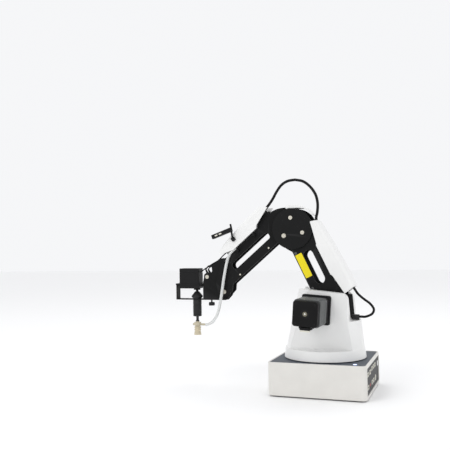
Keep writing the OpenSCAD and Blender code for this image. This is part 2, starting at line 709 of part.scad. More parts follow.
module coupling_cap() {
    color("#1e1e1e") down(0) difference() {
        rotate_extrude() polygon([[0, 0.2], [3, 0], [5, -1.4], [10.4, -8.4], [10.4, -10.2], [7.8, -12.4],
            [7.8, -13], [0, -13]]);
        translate([0, 0, -2.2]) cylinder(r = 2.45, h = 5);
        translate([0, 0, -14]) cylinder(d = holder_d - 3, h = 7);
    }
}
module tool_holder() {
    color("#1e1e1e") down(0) difference() {
        union() {
            translate([0, 0, -45]) cylinder(d = holder_d, h = 29.7);
            translate([0, 0, -16]) cylinder(d = holder_d - 3, h = 9);
        }
        translate([0, 0, -50]) cylinder(r = rod_r, h = 25);
    }
}
module tool_rod() { color("#444444") down(-54) cylinder(r = rod_r, h = 29); }
module air_fitting() {
    color("tan") down(0) difference() {
        union() {
            rotate_extrude() polygon([[0, -54], [3.2, -54], [6.4, -56], [6.4, -61], [4.6, -63.4], [0, -63.4]]);
            translate([0, 0, -59.8]) rotate([0, -90, 0]) cylinder(r = 1.6, h = 15.5);
            translate([0, 0, -59.8]) rotate([0, 90, 0]) cylinder(r = 2, h = 9);
        }
        translate([0, 0, -70]) cylinder(r = 1.2, h = 10);
    }
}
module suction_cup() {
    color("wheat") down(0) rotate_extrude() polygon([[0, -63.4], [4.4, -63.4], [6.4, -65], [5.2, -67.2],
        [6.4, -69.4], [5.2, -71.4], [6, -73.4], [cup_d / 2, -78.2], [cup_d / 2 - 1, -78.4], [4, -73.6], [0, -71.8]]);
}

// ---- flexible leads ----

module elbow_lead() { color("black") sweep(smooth(elbow_lead_route, 1), cord_r[0]); }
module shoulder_lead() { color("black") sweep(smooth(shoulder_lead_route, 1), cord_r[1]); }
module air_tube() { color("azure") sweep(smooth(air_tube_route, 1), cord_r[2]); }
module servo_lead() { color("black") sweep(smooth(servo_lead_route, 1), cord_r[3]); }

base_shell();
bottom_plate();
top_plate();
rear_panel();
panel_sockets();
power_button();
reset_button();
status_light();
rubber_feet();
control_board();
base_motor();
turret_shell();
turntable();
turret_frame();
left_gearbox();
right_gearbox();
left_motor();
right_motor();
left_motor_cap();
right_motor_cap();
motor_plugs();
motor_screws();
shoulder_shaft();
link_anchor();
notch_cover();
rear_plate_left();
rear_plate_right();
rear_spacers();
rear_cover();
arm_label();
elbow_plate_left();
elbow_plate_right();
elbow_pins();
elbow_cap();
rear_level_link();
front_level_link();
drive_crank();
crank_pin();
drive_rod();
fore_plate_left();
fore_plate_right();
fore_tail();
fore_spacers();
fore_cover();
plug_clip();
signal_plug();
wrist_bracket();
wrist_pins();
servo();
servo_horn();
thumb_screw();
coupling_cap();
tool_holder();
tool_rod();
air_fitting();
suction_cup();
elbow_lead();
shoulder_lead();
air_tube();
servo_lead();
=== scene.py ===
import json
import math

import bmesh
import bpy
from mathutils import Matrix, Vector


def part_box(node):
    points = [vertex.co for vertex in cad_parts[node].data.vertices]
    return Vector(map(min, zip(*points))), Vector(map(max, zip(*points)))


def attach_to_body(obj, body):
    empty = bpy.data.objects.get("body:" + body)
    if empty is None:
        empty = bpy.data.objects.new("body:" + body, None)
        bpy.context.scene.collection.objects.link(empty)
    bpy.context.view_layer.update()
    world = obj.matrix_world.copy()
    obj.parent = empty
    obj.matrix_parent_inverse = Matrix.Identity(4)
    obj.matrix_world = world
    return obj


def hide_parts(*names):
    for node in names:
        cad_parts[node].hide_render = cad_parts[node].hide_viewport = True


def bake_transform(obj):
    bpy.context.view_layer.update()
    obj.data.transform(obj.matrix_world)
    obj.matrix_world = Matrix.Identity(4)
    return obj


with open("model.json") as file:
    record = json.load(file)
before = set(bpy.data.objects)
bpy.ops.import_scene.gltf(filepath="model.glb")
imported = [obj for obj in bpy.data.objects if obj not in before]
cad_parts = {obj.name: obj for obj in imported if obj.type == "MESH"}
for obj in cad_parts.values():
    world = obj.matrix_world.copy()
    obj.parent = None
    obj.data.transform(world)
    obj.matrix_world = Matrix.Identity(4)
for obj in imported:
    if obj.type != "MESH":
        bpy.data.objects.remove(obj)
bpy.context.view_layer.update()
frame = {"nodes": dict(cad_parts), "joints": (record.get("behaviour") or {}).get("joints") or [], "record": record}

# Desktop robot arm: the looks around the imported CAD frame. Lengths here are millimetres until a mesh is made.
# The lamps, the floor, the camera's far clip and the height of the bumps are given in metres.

MM = 0.001

# ---- the frame's own facts ----

record = frame["record"]
joint_at = {j["name"]: Vector(j["pos_m"]) / MM for j in frame["joints"] if "pos_m" in j}
body_of = {n: body for body, names in record["behaviour"]["bodies"].items() for n in names}
slot_of = {s["node"]: s["material_slot"] for s in record["subparts"]}
shoulder, elbow, wrist = joint_at["shoulder"], joint_at["forearm"], joint_at["wrist_level"]
upper_pin = joint_at["front_link_top"]                          # the elbow plates' other two pins
rear_pin = joint_at["rear_link_foot"] - shoulder + elbow
tool_x = joint_at["tool_turn"].x
rear_tilt = math.atan2(elbow.x - shoulder.x, elbow.z - shoulder.z)
fore_drop = math.atan2(elbow.z - wrist.z, wrist.x - elbow.x)


def tilted(at, angle):
    """A local frame at a point: x forward, z up, turned about Y."""
    return Matrix.Translation(at) @ Matrix.Rotation(angle, 4, "Y")


LEVEL = Matrix.Identity(4)
REAR = tilted(shoulder, rear_tilt)      # x forward of the rear arm's line, z along it
FORE = tilted(elbow, fore_drop)         # x along the forearm's line, z above it
WRIST = tilted(wrist, 0)
TOOL = Matrix.Translation(Vector((tool_x, 0, wrist.z)))


def node_box(node):
    """Lowest and highest corner of a CAD node, in millimetres."""
    lo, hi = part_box(node)
    return lo / MM, hi / MM


# ---- camera, floor and light ----

CAMERA_AT = Vector((-221.8, 1062.5, 234.4))
CAMERA_TURN, CAMERA_TILT, CAMERA_ROLL = 20.55, 2.36, -0.92      # degrees
SENSOR, LENS = 36, 50.62
FAR_CLIP = 20                                                   # metres
SKY, SKY_STRENGTH = (0.98, 0.985, 1.0, 1), 0.94
FLOOR_COLOUR, FLOOR_ROUGHNESS = (0.95, 0.95, 0.95, 1), 0.7
FLOOR_REACH = 6                                                 # metres
LIT_POINT = (0.08, 0, 0.15)                                     # metres; every lamp faces it
LAMPS = {   # place and size in metres, power in watts
    "key_light": ((0.9, 1.5, 1.5), (0.9, 0.9), 8),
    "fill_light": ((-1.5, 1.1, 0.8), (1.0, 1.4), 2.5),
    "top_light": ((0.0, -0.6, 1.9), (1.4, 1.0), 5),
}


def place_in_scene(name, data):
    obj = bpy.data.objects.new(name, data)
    bpy.context.scene.collection.objects.link(obj)
    return obj


def camera():
    """The photograph's viewing angle: from the arm's left and a little behind, looking slightly up."""
    turn, tilt, roll = (math.radians(angle) for angle in (CAMERA_TURN, CAMERA_TILT, CAMERA_ROLL))
    ahead = Vector((math.sin(turn) * math.cos(tilt), -math.cos(turn) * math.cos(tilt), math.sin(tilt)))
    right = ahead.cross(Vector((0, 0, 1))).normalized()
    up = right.cross(ahead)
    across = math.cos(roll) * right + math.sin(roll) * up
    above = math.cos(roll) * up - math.sin(roll) * right
    data = bpy.data.cameras.new("camera")
    data.sensor_width = SENSOR
    data.lens = LENS
    data.clip_end = FAR_CLIP
    cam = place_in_scene("camera", data)
    basis = Matrix((across, above, -ahead)).transposed().to_4x4()
    cam.matrix_world = Matrix.Translation(CAMERA_AT * MM) @ basis
    bpy.context.scene.camera = cam


def surround():
    """A pale surround that lights from all sides."""
    world = bpy.data.worlds.new("studio")
    bpy.context.scene.world = world
    world.use_nodes = True
    back = world.node_tree.nodes["Background"]
    back.inputs["Color"].default_value = SKY
    back.inputs["Strength"].default_value = SKY_STRENGTH
    bpy.context.scene.view_settings.view_transform = "Standard"


def floor():
    bm = bmesh.new()
    bmesh.ops.create_grid(bm, x_segments=1, y_segments=1, size=FLOOR_REACH)
    mesh = bpy.data.meshes.new("floor")
    bm.to_mesh(mesh)
    bm.free()
    ground = place_in_scene("floor", mesh)
    pale = bpy.data.materials.new("floor_pale")
    pale.use_nodes = True
    shader = pale.node_tree.nodes["Principled BSDF"]
    shader.inputs["Base Color"].default_value = FLOOR_COLOUR
    shader.inputs["Roughness"].default_value = FLOOR_ROUGHNESS
    mesh.materials.append(pale)


def lamp(name, at, size, power):
    """A soft box."""
    data = bpy.data.lights.new(name, "AREA")
    data.shape = "RECTANGLE"
    data.size, data.size_y = size
    data.energy = power
    box = place_in_scene(name, data)
    box.location = at
    box.rotation_euler = (Vector(LIT_POINT) - Vector(at)).to_track_quat("-Z", "Y").to_euler()


camera()
surround()
floor()
for name, how in LAMPS.items():
    lamp(name, *how)

# ---- materials ----

GRAIN_DETAIL, TONE_DETAIL = 4, 5            # how many octaves each noise has
TONE_SCALE = 38                             # per metre
TONE_NOISE = (0.3, 0.7)                     # the noise values that give the darkest and lightest tone
BUMP_HEIGHT = 0.0002                        # metres
LOWEST_ROUGHNESS = 0.02
COAT_ROUGHNESS = 0.12
EDGE_BEND = (0.53, 0.62)                    # pointiness where wear begins and where it is full
WORN_COLOUR = (0.42, 0.42, 0.43, 1)
MIX_FIRST, MIX_SECOND, MIX_RESULT = 6, 7, 2     # a mix node's colour sockets


def link(tree, a, out, b, inp):
    tree.links.new(a.outputs[out], b.inputs[inp])


def map_range(tree, source, out, start, end):
    """A node that maps a socket's values from the start range to the end range."""
    node = tree.nodes.new("ShaderNodeMapRange")
    node.inputs["From Min"].default_value, node.inputs["From Max"].default_value = start
    node.inputs["To Min"].default_value, node.inputs["To Max"].default_value = end
    link(tree, source, out, node, "Value")
    return node


def noise(tree, source, out, scale, detail):
    node = tree.nodes.new("ShaderNodeTexNoise")
    node.inputs["Scale"].default_value = scale
    node.inputs["Detail"].default_value = detail
    link(tree, source, out, node, "Vector")
    return node


def worn_edges(tree, tinted, wear):
    """The tinted colour, lighter where the surface bends sharply."""
    geometry = tree.nodes.new("ShaderNodeNewGeometry")
    ramp = map_range(tree, geometry, "Pointiness", EDGE_BEND, (0, wear))
    worn = tree.nodes.new("ShaderNodeMix")
    worn.data_type = "RGBA"
    link(tree, ramp, "Result", worn, "Factor")
    link(tree, tinted, "Vector", worn, MIX_FIRST)
    worn.inputs[MIX_SECOND].default_value = WORN_COLOUR
    return worn


def finish(name, colour, rough, metal=0.0, mottle=0.06, grain=900, bump=0.08, stretch=(1, 1, 1), wear=0.0,
           coat=0.0, spread=0.08, **more):
    """A procedural surface. colour is linear; mottle varies its tone, grain is the bump's scale per metre,
    stretch scales the grain's coordinates, wear lightens the edges, spread varies the roughness."""
    mat = bpy.data.materials.new(name)
    mat.use_nodes = True
    tree = mat.node_tree
    shader = tree.nodes["Principled BSDF"]
    where = tree.nodes.new("ShaderNodeTexCoord")
    scaled = tree.nodes.new("ShaderNodeMapping")
    scaled.inputs["Scale"].default_value = stretch
    link(tree, where, "Object", scaled, "Vector")
    fine = noise(tree, scaled, "Vector", grain, GRAIN_DETAIL)
    broad = noise(tree, where, "Object", TONE_SCALE, TONE_DETAIL)
    tone = map_range(tree, broad, "Fac", TONE_NOISE, (1 - mottle, 1 + mottle))
    tinted = tree.nodes.new("ShaderNodeVectorMath")
    tinted.operation = "SCALE"
    tinted.inputs[0].default_value = colour
    link(tree, tone, "Result", tinted, "Scale")
    if wear:
        link(tree, worn_edges(tree, tinted, wear), MIX_RESULT, shader, "Base Color")
    else:
        link(tree, tinted, "Vector", shader, "Base Color")
    rough_range = (max(rough - spread, LOWEST_ROUGHNESS), min(rough + spread, 1))
    gloss = map_range(tree, fine, "Fac", (0, 1), rough_range)
    link(tree, gloss, "Result", shader, "Roughness")
    height = tree.nodes.new("ShaderNodeBump")
    height.inputs["Strength"].default_value = bump
    height.inputs["Distance"].default_value = BUMP_HEIGHT
    link(tree, fine, "Fac", height, "Height")
    link(tree, height, "Normal", shader, "Normal")
    shader.inputs["Metallic"].default_value = metal
    shader.inputs["Coat Weight"].default_value = coat
    shader.inputs["Coat Roughness"].default_value = COAT_ROUGHNESS
    for socket, value in more.items():
        shader.inputs[socket.replace("_", " ")].default_value = value
    return mat


LOOKS = {   # one for each material slot, then four that take a slot's place on single pieces
    "shell_white": dict(colour=(0.80, 0.80, 0.79), rough=0.36, mottle=0.012, grain=1500, bump=0.05,
                        coat=0.15),
    "base_silver": dict(colour=(0.70, 0.685, 0.65), rough=0.40, metal=0.12, mottle=0.03, grain=2600,
                        bump=0.10, coat=0.1),
    "slate_top": dict(colour=(0.070, 0.082, 0.102), rough=0.55, mottle=0.05, grain=2200, bump=0.18,
                      Specular_IOR_Level=0.3),
    "plate_black": dict(colour=(0.007, 0.0072, 0.0072), rough=0.50, mottle=0.10, grain=1800, bump=0.10,
                        wear=0.03, Specular_IOR_Level=0.11),
    "steel": dict(colour=(0.66, 0.65, 0.62), rough=0.24, metal=1.0, grain=1200, bump=0.04),
    "grey_alloy": dict(colour=(0.36, 0.37, 0.38), rough=0.38, metal=0.9, stretch=(1, 14, 1), bump=0.12),
    "gearbox_black": dict(colour=(0.008, 0.008, 0.009), rough=0.45, mottle=0.1, grain=1400, bump=0.1,
                          wear=0.06, Specular_IOR_Level=0.15),
    "motor_silver": dict(colour=(0.105, 0.11, 0.11), rough=0.42, metal=0.7, grain=1500, stretch=(1, 0.05, 1),
                         bump=0.2, spread=0.12),
    "cap_black": dict(colour=(0.006, 0.006, 0.0062), rough=0.50, mottle=0.15, grain=1300, bump=0.25,
                      wear=0.06, Specular_IOR_Level=0.1),
    "inner_motor": dict(colour=(0.06, 0.06, 0.065), rough=0.5, bump=0.1),
    "panel_black": dict(colour=(0.012, 0.012, 0.013), rough=0.55, grain=2400, bump=0.2),
    "connector_ivory": dict(colour=(0.66, 0.64, 0.56), rough=0.42, mottle=0.04, grain=1500, bump=0.05),
    "lining_dark": dict(colour=(0.018, 0.018, 0.019), rough=0.6, grain=2000, bump=0.25),
    "board_green": dict(colour=(0.01, 0.10, 0.04), rough=0.35, grain=700, bump=0.1, coat=0.4),
    "lens_clear": dict(colour=(0.75, 0.82, 1.0), rough=0.2, mottle=0.01, bump=0.01,
                       Emission_Color=(0.45, 0.55, 1.0, 1), Emission_Strength=1.6),
    "feet_rubber": dict(colour=(0.015, 0.015, 0.015), rough=0.75, grain=1300, bump=0.25),
    "button_silver": dict(colour=(0.62, 0.62, 0.63), rough=0.2, metal=1.0, grain=1200, bump=0.04),
    "button_red": dict(colour=(0.40, 0.015, 0.012), rough=0.3, mottle=0.04, bump=0.03, coat=0.3),
    "label_yellow": dict(colour=(0.80, 0.66, 0.012), rough=0.5, mottle=0.03, grain=1700, bump=0.05,
                         Specular_IOR_Level=0.25),
    "lead_black": dict(colour=(0.006, 0.006, 0.0065), rough=0.5, mottle=0.08, grain=1600, bump=0.12,
                       Specular_IOR_Level=0.15),
    "tube_clear": dict(colour=(0.80, 0.81, 0.80), rough=0.22, mottle=0.02, grain=500, bump=0.02, coat=0.3,
                       Transmission_Weight=0.25, IOR=1.4),
    "servo_black": dict(colour=(0.009, 0.009, 0.0095), rough=0.45, mottle=0.08, grain=1500, bump=0.14,
                        Specular_IOR_Level=0.16),
    "tool_black": dict(colour=(0.012, 0.012, 0.0125), rough=0.40, grain=1500, stretch=(1, 1, 12), bump=0.1,
                       wear=0.05, Specular_IOR_Level=0.22),
    "fitting_ivory": dict(colour=(0.50, 0.45, 0.33), rough=0.36, mottle=0.06, grain=1200, bump=0.05,
                          coat=0.2),
    "cup_beige": dict(colour=(0.70, 0.62, 0.45), rough=0.34, mottle=0.05, bump=0.05, coat=0.1,
                      Transmission_Weight=0.22, IOR=1.41),
    # painted shade: near black and flat, for the shaded insides of the rear panel's sockets
    "painted_socket_shade": dict(colour=(0.004, 0.004, 0.004), rough=0.8, bump=0.05),
    "pin_ivory": dict(colour=(0.60, 0.57, 0.49), rough=0.34, metal=0.35, mottle=0.05, grain=1200, bump=0.05),
    "hub_ivory": dict(colour=(0.16, 0.15, 0.11), rough=0.40, metal=0.4, mottle=0.08, grain=1200, bump=0.08),
    "screw_dim": dict(colour=(0.10, 0.10, 0.10), rough=0.42, metal=0.5, mottle=0.1, grain=1200, bump=0.06),
}
SURFACE = {name: finish(name, **look) for name, look in LOOKS.items()}

# ---- mesh helpers ----

WELD = 1e-4                 # points closer than this become one
SMOOTH_BELOW = 32           # degrees; a sharper edge between two faces stays visible
ROUND_ABOVE = 30            # degrees; a sharper edge is rounded


def shade(mesh, angle=SMOOTH_BELOW):
    mesh.shade_smooth()
    mesh.set_sharp_from_angle(angle=math.radians(angle))


def bake_modifiers(obj):
    deps = bpy.context.evaluated_depsgraph_get()
    mesh = bpy.data.meshes.new_from_object(obj.evaluated_get(deps))
    obj.modifiers.clear()
    obj.data = mesh


def round_edges(obj, width, segments=2, bend=ROUND_ABOVE):
    mod = obj.modifiers.new("rounding", "BEVEL")
    mod.width = width * MM
    mod.segments = segments
    mod.limit_method = "ANGLE"
    mod.angle_limit = math.radians(bend)
    bake_modifiers(obj)


def even_normals(obj):
    """Lets the large faces set the shading, so that the narrow ones at rounded edges don't tint them."""
    mod = obj.modifiers.new("even", "WEIGHTED_NORMAL")
    mod.keep_sharp = True
    bake_modifiers(obj)


def add_mesh(name, bm, matrix=None, bevel=0.0, segments=2):
    """A new object from a bmesh drawn in millimetres, its hard edges rounded by bevel."""
    bmesh.ops.remove_doubles(bm, verts=bm.verts, dist=WELD)
    bmesh.ops.recalc_face_normals(bm, faces=bm.faces)
    if matrix:
        bm.transform(matrix)
    bm.transform(Matrix.Scale(MM, 4))
    mesh = bpy.data.meshes.new(name)
    bm.to_mesh(mesh)
    bm.free()
    obj = place_in_scene(name, mesh)
    if bevel:
        round_edges(obj, bevel, segments)
    shade(obj.data)
    if bevel:
        even_normals(obj)
    return obj


def dress(obj, slot, surface=None, nodes=()):
    """Gives a piece the surface of its slot, or the named surface instead, and hides the CAD nodes it stands for.
    """
    obj.data.materials.clear()
    obj.data.materials.append(SURFACE[surface or slot])
    if nodes:
        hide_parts(*nodes)


def attach(obj, body, slot, surface=None, nodes=()):
    """Puts a piece on its body and dresses it."""
    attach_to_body(obj, body)
    dress(obj, slot, surface, nodes)


def fit(name, bm, body, slot, matrix=None, bevel=0.0, surface=None, nodes=()):
    """A new piece from a bmesh, attached."""
    attach(add_mesh(name, bm, matrix, bevel), body, slot, surface, nodes)


def rounded(rows, steps=6):
    """Outline points from (x, z, corner radius) rows."""
    points = []
    for i, (x, z, r) in enumerate(rows):
        here = Vector((x, z))
        if not r:
            points.append(here)
            continue
        u = (Vector(rows[i - 1][:2]) - here).normalized()
        v = (Vector(rows[(i + 1) % len(rows)][:2]) - here).normalized()
        half = u.angle(v) / 2
        middle = here + (u + v).normalized() * r / math.sin(half)
        first = here + u * r / math.tan(half) - middle
        last = here + v * r / math.tan(half) - middle
        turn = first.angle_signed(last)
        for k in range(steps + 1):
            spin = Matrix.Rotation(-turn * k / steps, 2)
            points.append(middle + spin @ first)
    return points


def block_outline(x0, x1, z0, z1, r):
    return rounded([(x0, z0, r), (x1, z0, r), (x1, z1, r), (x0, z1, r)])


def loft(loops, ring=True, caps=True):
    """A skin through loops of points; each loop has the same count."""
    bm = bmesh.new()
    rows = [[bm.verts.new(p) for p in loop] for loop in loops]
    count = len(loops[0])
    for a, b in zip(rows, rows[1:]):
        for i in range(count if ring else count - 1):
            j = (i + 1) % count
            bm.faces.new((a[i], a[j], b[j], b[i]))
    if caps:
        bm.faces.new(rows[0])
        bm.faces.new(rows[-1])
    return bm


def slab(points, y0, y1):
    """A side-view outline made solid from y0 to y1."""
    return loft([[Vector((p[0], y, p[1])) for p in points] for y in (y0, y1)])


AXIS_UP = LEVEL
AXIS_LEFT = Matrix.Rotation(-math.pi / 2, 4, "X")
AXIS_RIGHT = Matrix.Rotation(math.pi / 2, 4, "X")
AXIS_BACK = Matrix.Rotation(-math.pi / 2, 4, "Y")
AXIS_AHEAD = Matrix.Rotation(math.pi / 2, 4, "Y")
ON_AXIS = 1e-5          # radius of a ring that is welded to one point on the axis
KNURL_FROM = 1          # ridges are cut only where the radius is larger


def turned(profile, at=(0, 0, 0), axis=AXIS_UP, sides=40, knurls=0, depth=0.0):
    """A turned solid from (radius, height) rows. An end that is off the axis is closed to the axis, or to the
    other end where both are off it. knurls is a count of ridges and depth their share of the radius."""
    first, last = profile[0], profile[-1]
    if first[0] and last[0]:
        profile = [*profile, first]
    elif first[0]:
        profile = [(0, first[1]), *profile]
    elif last[0]:
        profile = [*profile, (0, last[1])]
    loops = []
    for r, h in profile:
        loop = []
        for i in range(sides):
            a = 2 * math.pi * i / sides
            ridge = 1 + (depth * math.cos(knurls * a) if r > KNURL_FROM else 0)
            out = max(r, ON_AXIS) * ridge
            loop.append(Vector((out * math.cos(a), out * math.sin(a), h)))
        loops.append(loop)
    bm = loft(loops, caps=False)
    bm.transform(Matrix.Translation(at) @ axis)
    return bm


def merged(forms):
    """One bmesh from several."""
    whole = bmesh.new()
    for form in forms:
        mesh = bpy.data.meshes.new("part")
        form.to_mesh(mesh)
        form.free()
        whole.from_mesh(mesh)
        bpy.data.meshes.remove(mesh)
    return whole


def smooth_path(points, steps=6):
    """A Catmull-Rom curve through the points."""
    pts = [Vector(p) for p in points]
    out = []
    for i in range(len(pts) - 1):
        a, b, c, d = pts[max(i - 1, 0)], pts[i], pts[i + 1], pts[min(i + 2, len(pts) - 1)]
        for k in range(steps):
            t = k / steps
            out.append(0.5 * (2 * b + (c - a) * t + (2 * a - 5 * b + 4 * c - d) * t * t
                              + (3 * b - a - 3 * c + d) * t ** 3))
    return out + [pts[-1]]


OFF_EVERY_PATH = Vector((0.31, 1, 0.13))        # a direction that no path runs along


def tube(path, radius, sides=16):
    """A round tube along a path, its ends closed."""
    loops = []
    for i, p in enumerate(path):
        ahead = (path[min(i + 1, len(path) - 1)] - path[max(i - 1, 0)]).normalized()
        side = ahead.cross(OFF_EVERY_PATH).normalized()
        up = ahead.cross(side)
        loops.append([p + radius * (math.cos(a) * side + math.sin(a) * up)
                      for a in (2 * math.pi * k / sides for k in range(sides))])
    return loft(loops)


# ---- CAD parts kept in shape, with rounded edges ----

CAD_WELD = 0.002            # points of a CAD mesh that are closer become one
FLAT = 0.6                  # degrees; faces that meet flatter than this are joined
ROUNDED = {     # edge radius, steps round the edge, and the surface where it isn't the slot's own
    "base_shell": (1.0, 3), "bottom_plate": (0.4, 1), "top_plate": (0.3, 2), "rear_panel": (0.3, 1),
    "panel_sockets": (0.3, 1), "rubber_feet": (0.6, 2), "base_motor": (0.5, 1), "control_board": (0.2, 1),
    "turret_shell": (1.2, 3), "turntable": (0.5, 2), "turret_frame": (0.4, 1),
    "rear_plate_left": (0.35, 2), "rear_plate_right": (0.35, 2), "rear_spacers": (0, 1, "screw_dim"),
    "elbow_plate_left": (0.35, 2), "elbow_plate_right": (0.35, 2), "elbow_pins": (0.2, 1, "pin_ivory"),
    "rear_level_link": (0.35, 2), "front_level_link": (0.35, 2), "drive_crank": (0.35, 2),
    "drive_rod": (0.4, 2), "crank_pin": (0.3, 2), "link_anchor": (0.3, 2), "shoulder_shaft": (0.4, 2),
    "fore_plate_left": (0.35, 2), "fore_plate_right": (0.35, 2), "fore_tail": (0.35, 2),
    "fore_spacers": (0.2, 1, "plate_black"), "wrist_bracket": (0.3, 2), "wrist_pins": (0.2, 1, "pin_ivory"),
    "notch_cover": (0.3, 1), "power_button": (0.5, 2), "reset_button": (0.3, 2), "status_light": (0.3, 2),
    "plug_clip": (0.3, 2), "servo_horn": (0.3, 2),
}


def rounded_copy(node, width, segments, surface=None):
    """A CAD part's own shape with its hard edges rounded, in its place."""
    bm = bmesh.new()
    bm.from_mesh(frame["nodes"][node].data)
    bm.transform(Matrix.Scale(1 / MM, 4))
    bmesh.ops.remove_doubles(bm, verts=bm.verts, dist=CAD_WELD)
    bmesh.ops.dissolve_limit(bm, angle_limit=math.radians(FLAT), verts=bm.verts, edges=bm.edges)
    piece = add_mesh(node + "_finished", bm, None, width, segments)
    attach(piece, body_of[node], slot_of[node], surface, (node,))


for node, how in ROUNDED.items():
    rounded_copy(node, *how)

# ---- moulded covers ----

MOST_DEPTH, MOST_WIDTH = 0.45, 0.9      # shares of a station's depth and half-width that its corners may take
COVER_SKIN, COVER_EDGE = 2.0, 0.5       # wall and edge radius
COVER_BEND = 40                         # degrees; a sharper edge is rounded and stays visible
REAR_HALF, REAR_CORNER = 21, 7
REAR_STATIONS = [((-50, 3.5), (-68, 7)), ((-49.4, 7), (-69.6, 11)), ((-45, 38), (-69.6, 40)),
                 ((-42.8, 42), (-69.5, 44)), ((-42.8, 95.5), (-66.8, 96)), ((-44.5, 98), (-66.6, 99)),
                 ((-51.5, 136), (-63, 132.8))]
FORE_HALF, FORE_CORNER = 19, 6
FORE_STATIONS = [((-11, 56.5), (1.5, 68.6)), ((24, 46.5), (27, 68.1)), ((28, 42.5), (32, 67.9)),
                 ((46, 42.5), (46.5, 67.6)), ((84, 42.5), (96, 62.5)), ((98, 47.9), (102.5, 59.6)),
                 ((107.5, 51.5), (108.5, 56.5))]


def channel(stations, half, corner, steps=7):
    """A channel cover from (edge point, back point) stations along it, with rounded back corners."""
    loops = []
    for edge, back in stations:
        deep = (back - edge).length
        r = min(corner, deep * MOST_DEPTH, half * MOST_WIDTH)
        way = (back - edge) / deep
        run = [(0.0, half), (deep - r, half)]
        run += [(deep - r + r * math.sin(a), half - r + r * math.cos(a))
                for a in (math.pi / 2 * k / steps for k in range(1, steps + 1))]
        run += [(q, -y) for q, y in reversed(run)]
        loops.append([Vector((edge.x + way.x * q, y, edge.y + way.y * q)) for q, y in run])
    return loft(loops, ring=False, caps=False)


def between(stations, splits=4):
    """The stations with evenly spaced ones added between each two."""
    out = []
    for (e0, b0), (e1, b1) in zip(stations, stations[1:]):
        for k in range(splits):
            t = k / splits
            out.append((Vector(e0).lerp(Vector(e1), t), Vector(b0).lerp(Vector(b1), t)))
    return out + [(Vector(stations[-1][0]), Vector(stations[-1][1]))]


def cover(node, stations, half, corner, matrix):
    """A moulded channel cover with a wall of even thickness."""
    piece = add_mesh(node + "_moulded", channel(between(stations), half, corner), matrix)
    thick = piece.modifiers.new("thickness", "SOLIDIFY")
    thick.thickness = COVER_SKIN * MM
    thick.offset = -1
    thick.use_even_offset = True
    bake_modifiers(piece)
    round_edges(piece, COVER_EDGE, bend=COVER_BEND)
    shade(piece.data, COVER_BEND)
    even_normals(piece)
    attach(piece, body_of[node], slot_of[node], None, (node,))


cover("rear_cover", REAR_STATIONS, REAR_HALF, REAR_CORNER, REAR)
cover("fore_cover", FORE_STATIONS, FORE_HALF, FORE_CORNER, FORE)

# ---- elbow cover ----

TAPER_FROM = 0.6            # share of a strip's length where its taper begins


def arc_outline(inner, outer, start, end, steps=30, taper=0.0):
    """A strip of a ring between two radii and two angles in degrees; taper thins its far end."""
    points, back = [], []
    for i in range(steps + 1):
        a = math.radians(start + (end - start) * i / steps)
        low = inner + taper * max(0, i / steps - TAPER_FROM) / (1 - TAPER_FROM)
        points.append(Vector((outer * math.cos(a), outer * math.sin(a))))
        back.append(Vector((low * math.cos(a), low * math.sin(a))))
    return points + back[::-1]


def elbow_cap():
    """The curved white cover between the elbow plates, with a lip and a short ear down each side."""
    middle = Matrix.Translation((elbow + upper_pin + rear_pin) / 3)
    edge, edge_radius, flank_radius = 16.7, 0.45, 0.3
    band = slab(arc_outline(39.6, 41.2, 72, 146), -edge, edge)
    fit("elbow_cap_moulded", band, "elbow", "shell_white", middle, edge_radius, nodes=("elbow_cap",))
    lip, ear = arc_outline(35.6, 40.2, 72.4, 118, 30, 3), arc_outline(33, 39, 84.3, 97.7, 6)
    lips = [slab(lip, y0, y1) for y0, y1 in ((14.3, 16.6), (-16.6, -14.3))]
    fit("elbow_cap_lips", merged(lips), "elbow", "shell_white", middle, flank_radius)
    ears = [slab(ear, y0, y1) for y0, y1 in ((14.4, 16.5), (-16.5, -14.4))]
    fit("elbow_cap_ears", merged(ears), "elbow", "shell_white", middle, flank_radius)


elbow_cap()

# ---- motors ----

MOTOR_LEAN = -4.3           # degrees
MOTOR = tilted(shoulder, math.radians(MOTOR_LEAN))
CHEEK, FLANGE, STACK_IN, STACK_OUT, CAP_OUT = 40, 45, 62, 109, 120      # distances out from the middle plane
CAP_FACE = CAP_OUT - 0.25


def motor_frame(side):
    """The frame of the left motor (1) or, mirrored, of the right one (-1)."""
    return MOTOR @ Matrix.Scale(-1, 4, (0, 1, 0)) if side < 0 else MOTOR


def square_loft(half, corner, levels):
    """A square body with rounded corners through (distance out, inset) levels."""
    loops = []
    for y, inset in levels:
        h = half - inset
        loops.append([Vector((p.x, y, p.y)) for p in block_outline(-h, h, -h, h, corner)])
    return loft(loops)


def gearbox(name, at):
    """A broad flange on the turret's cheek and the narrower housing beyond it."""
    half, chamfer, step = 23.8, 0.6, 3.4
    flange = [(CHEEK, 0), (FLANGE - chamfer, 0), (FLANGE, chamfer)]
    neck = [(FLANGE - 1, step), (STACK_IN - 0.5, step), (STACK_IN, step + 0.5)]
    gear = merged([square_loft(half, 3.5, flange), square_loft(half, 5, neck)])
    fit(name + "_gearbox_finished", gear, "turret", "gearbox_black", at, nodes=(name + "_gearbox",))


def motor_stack(name, at):
    """The motor's smooth end bell and its stack of thin plates."""
    bell, pitch, plate, slope = 7.5, 1.15, 1.0, 0.12
    groove, ridge = 0.45, 0.15          # insets
    levels = [(STACK_IN, 0.4), (STACK_IN + 0.4, 0), (STACK_IN + bell, 0), (STACK_IN + bell + 0.4, 0.5)]
    y = STACK_IN + bell + 0.6
    while y < STACK_OUT - 1.4:
        levels += [(y, groove), (y + slope, ridge), (y + plate - slope, ridge), (y + plate, groove)]
        y += pitch
    levels += [(STACK_OUT, groove)]
    stack = square_loft(21.2, 5.2, levels)
    fit(name + "_stack", stack, "turret", "motor_silver", at, nodes=(name + "_motor",))


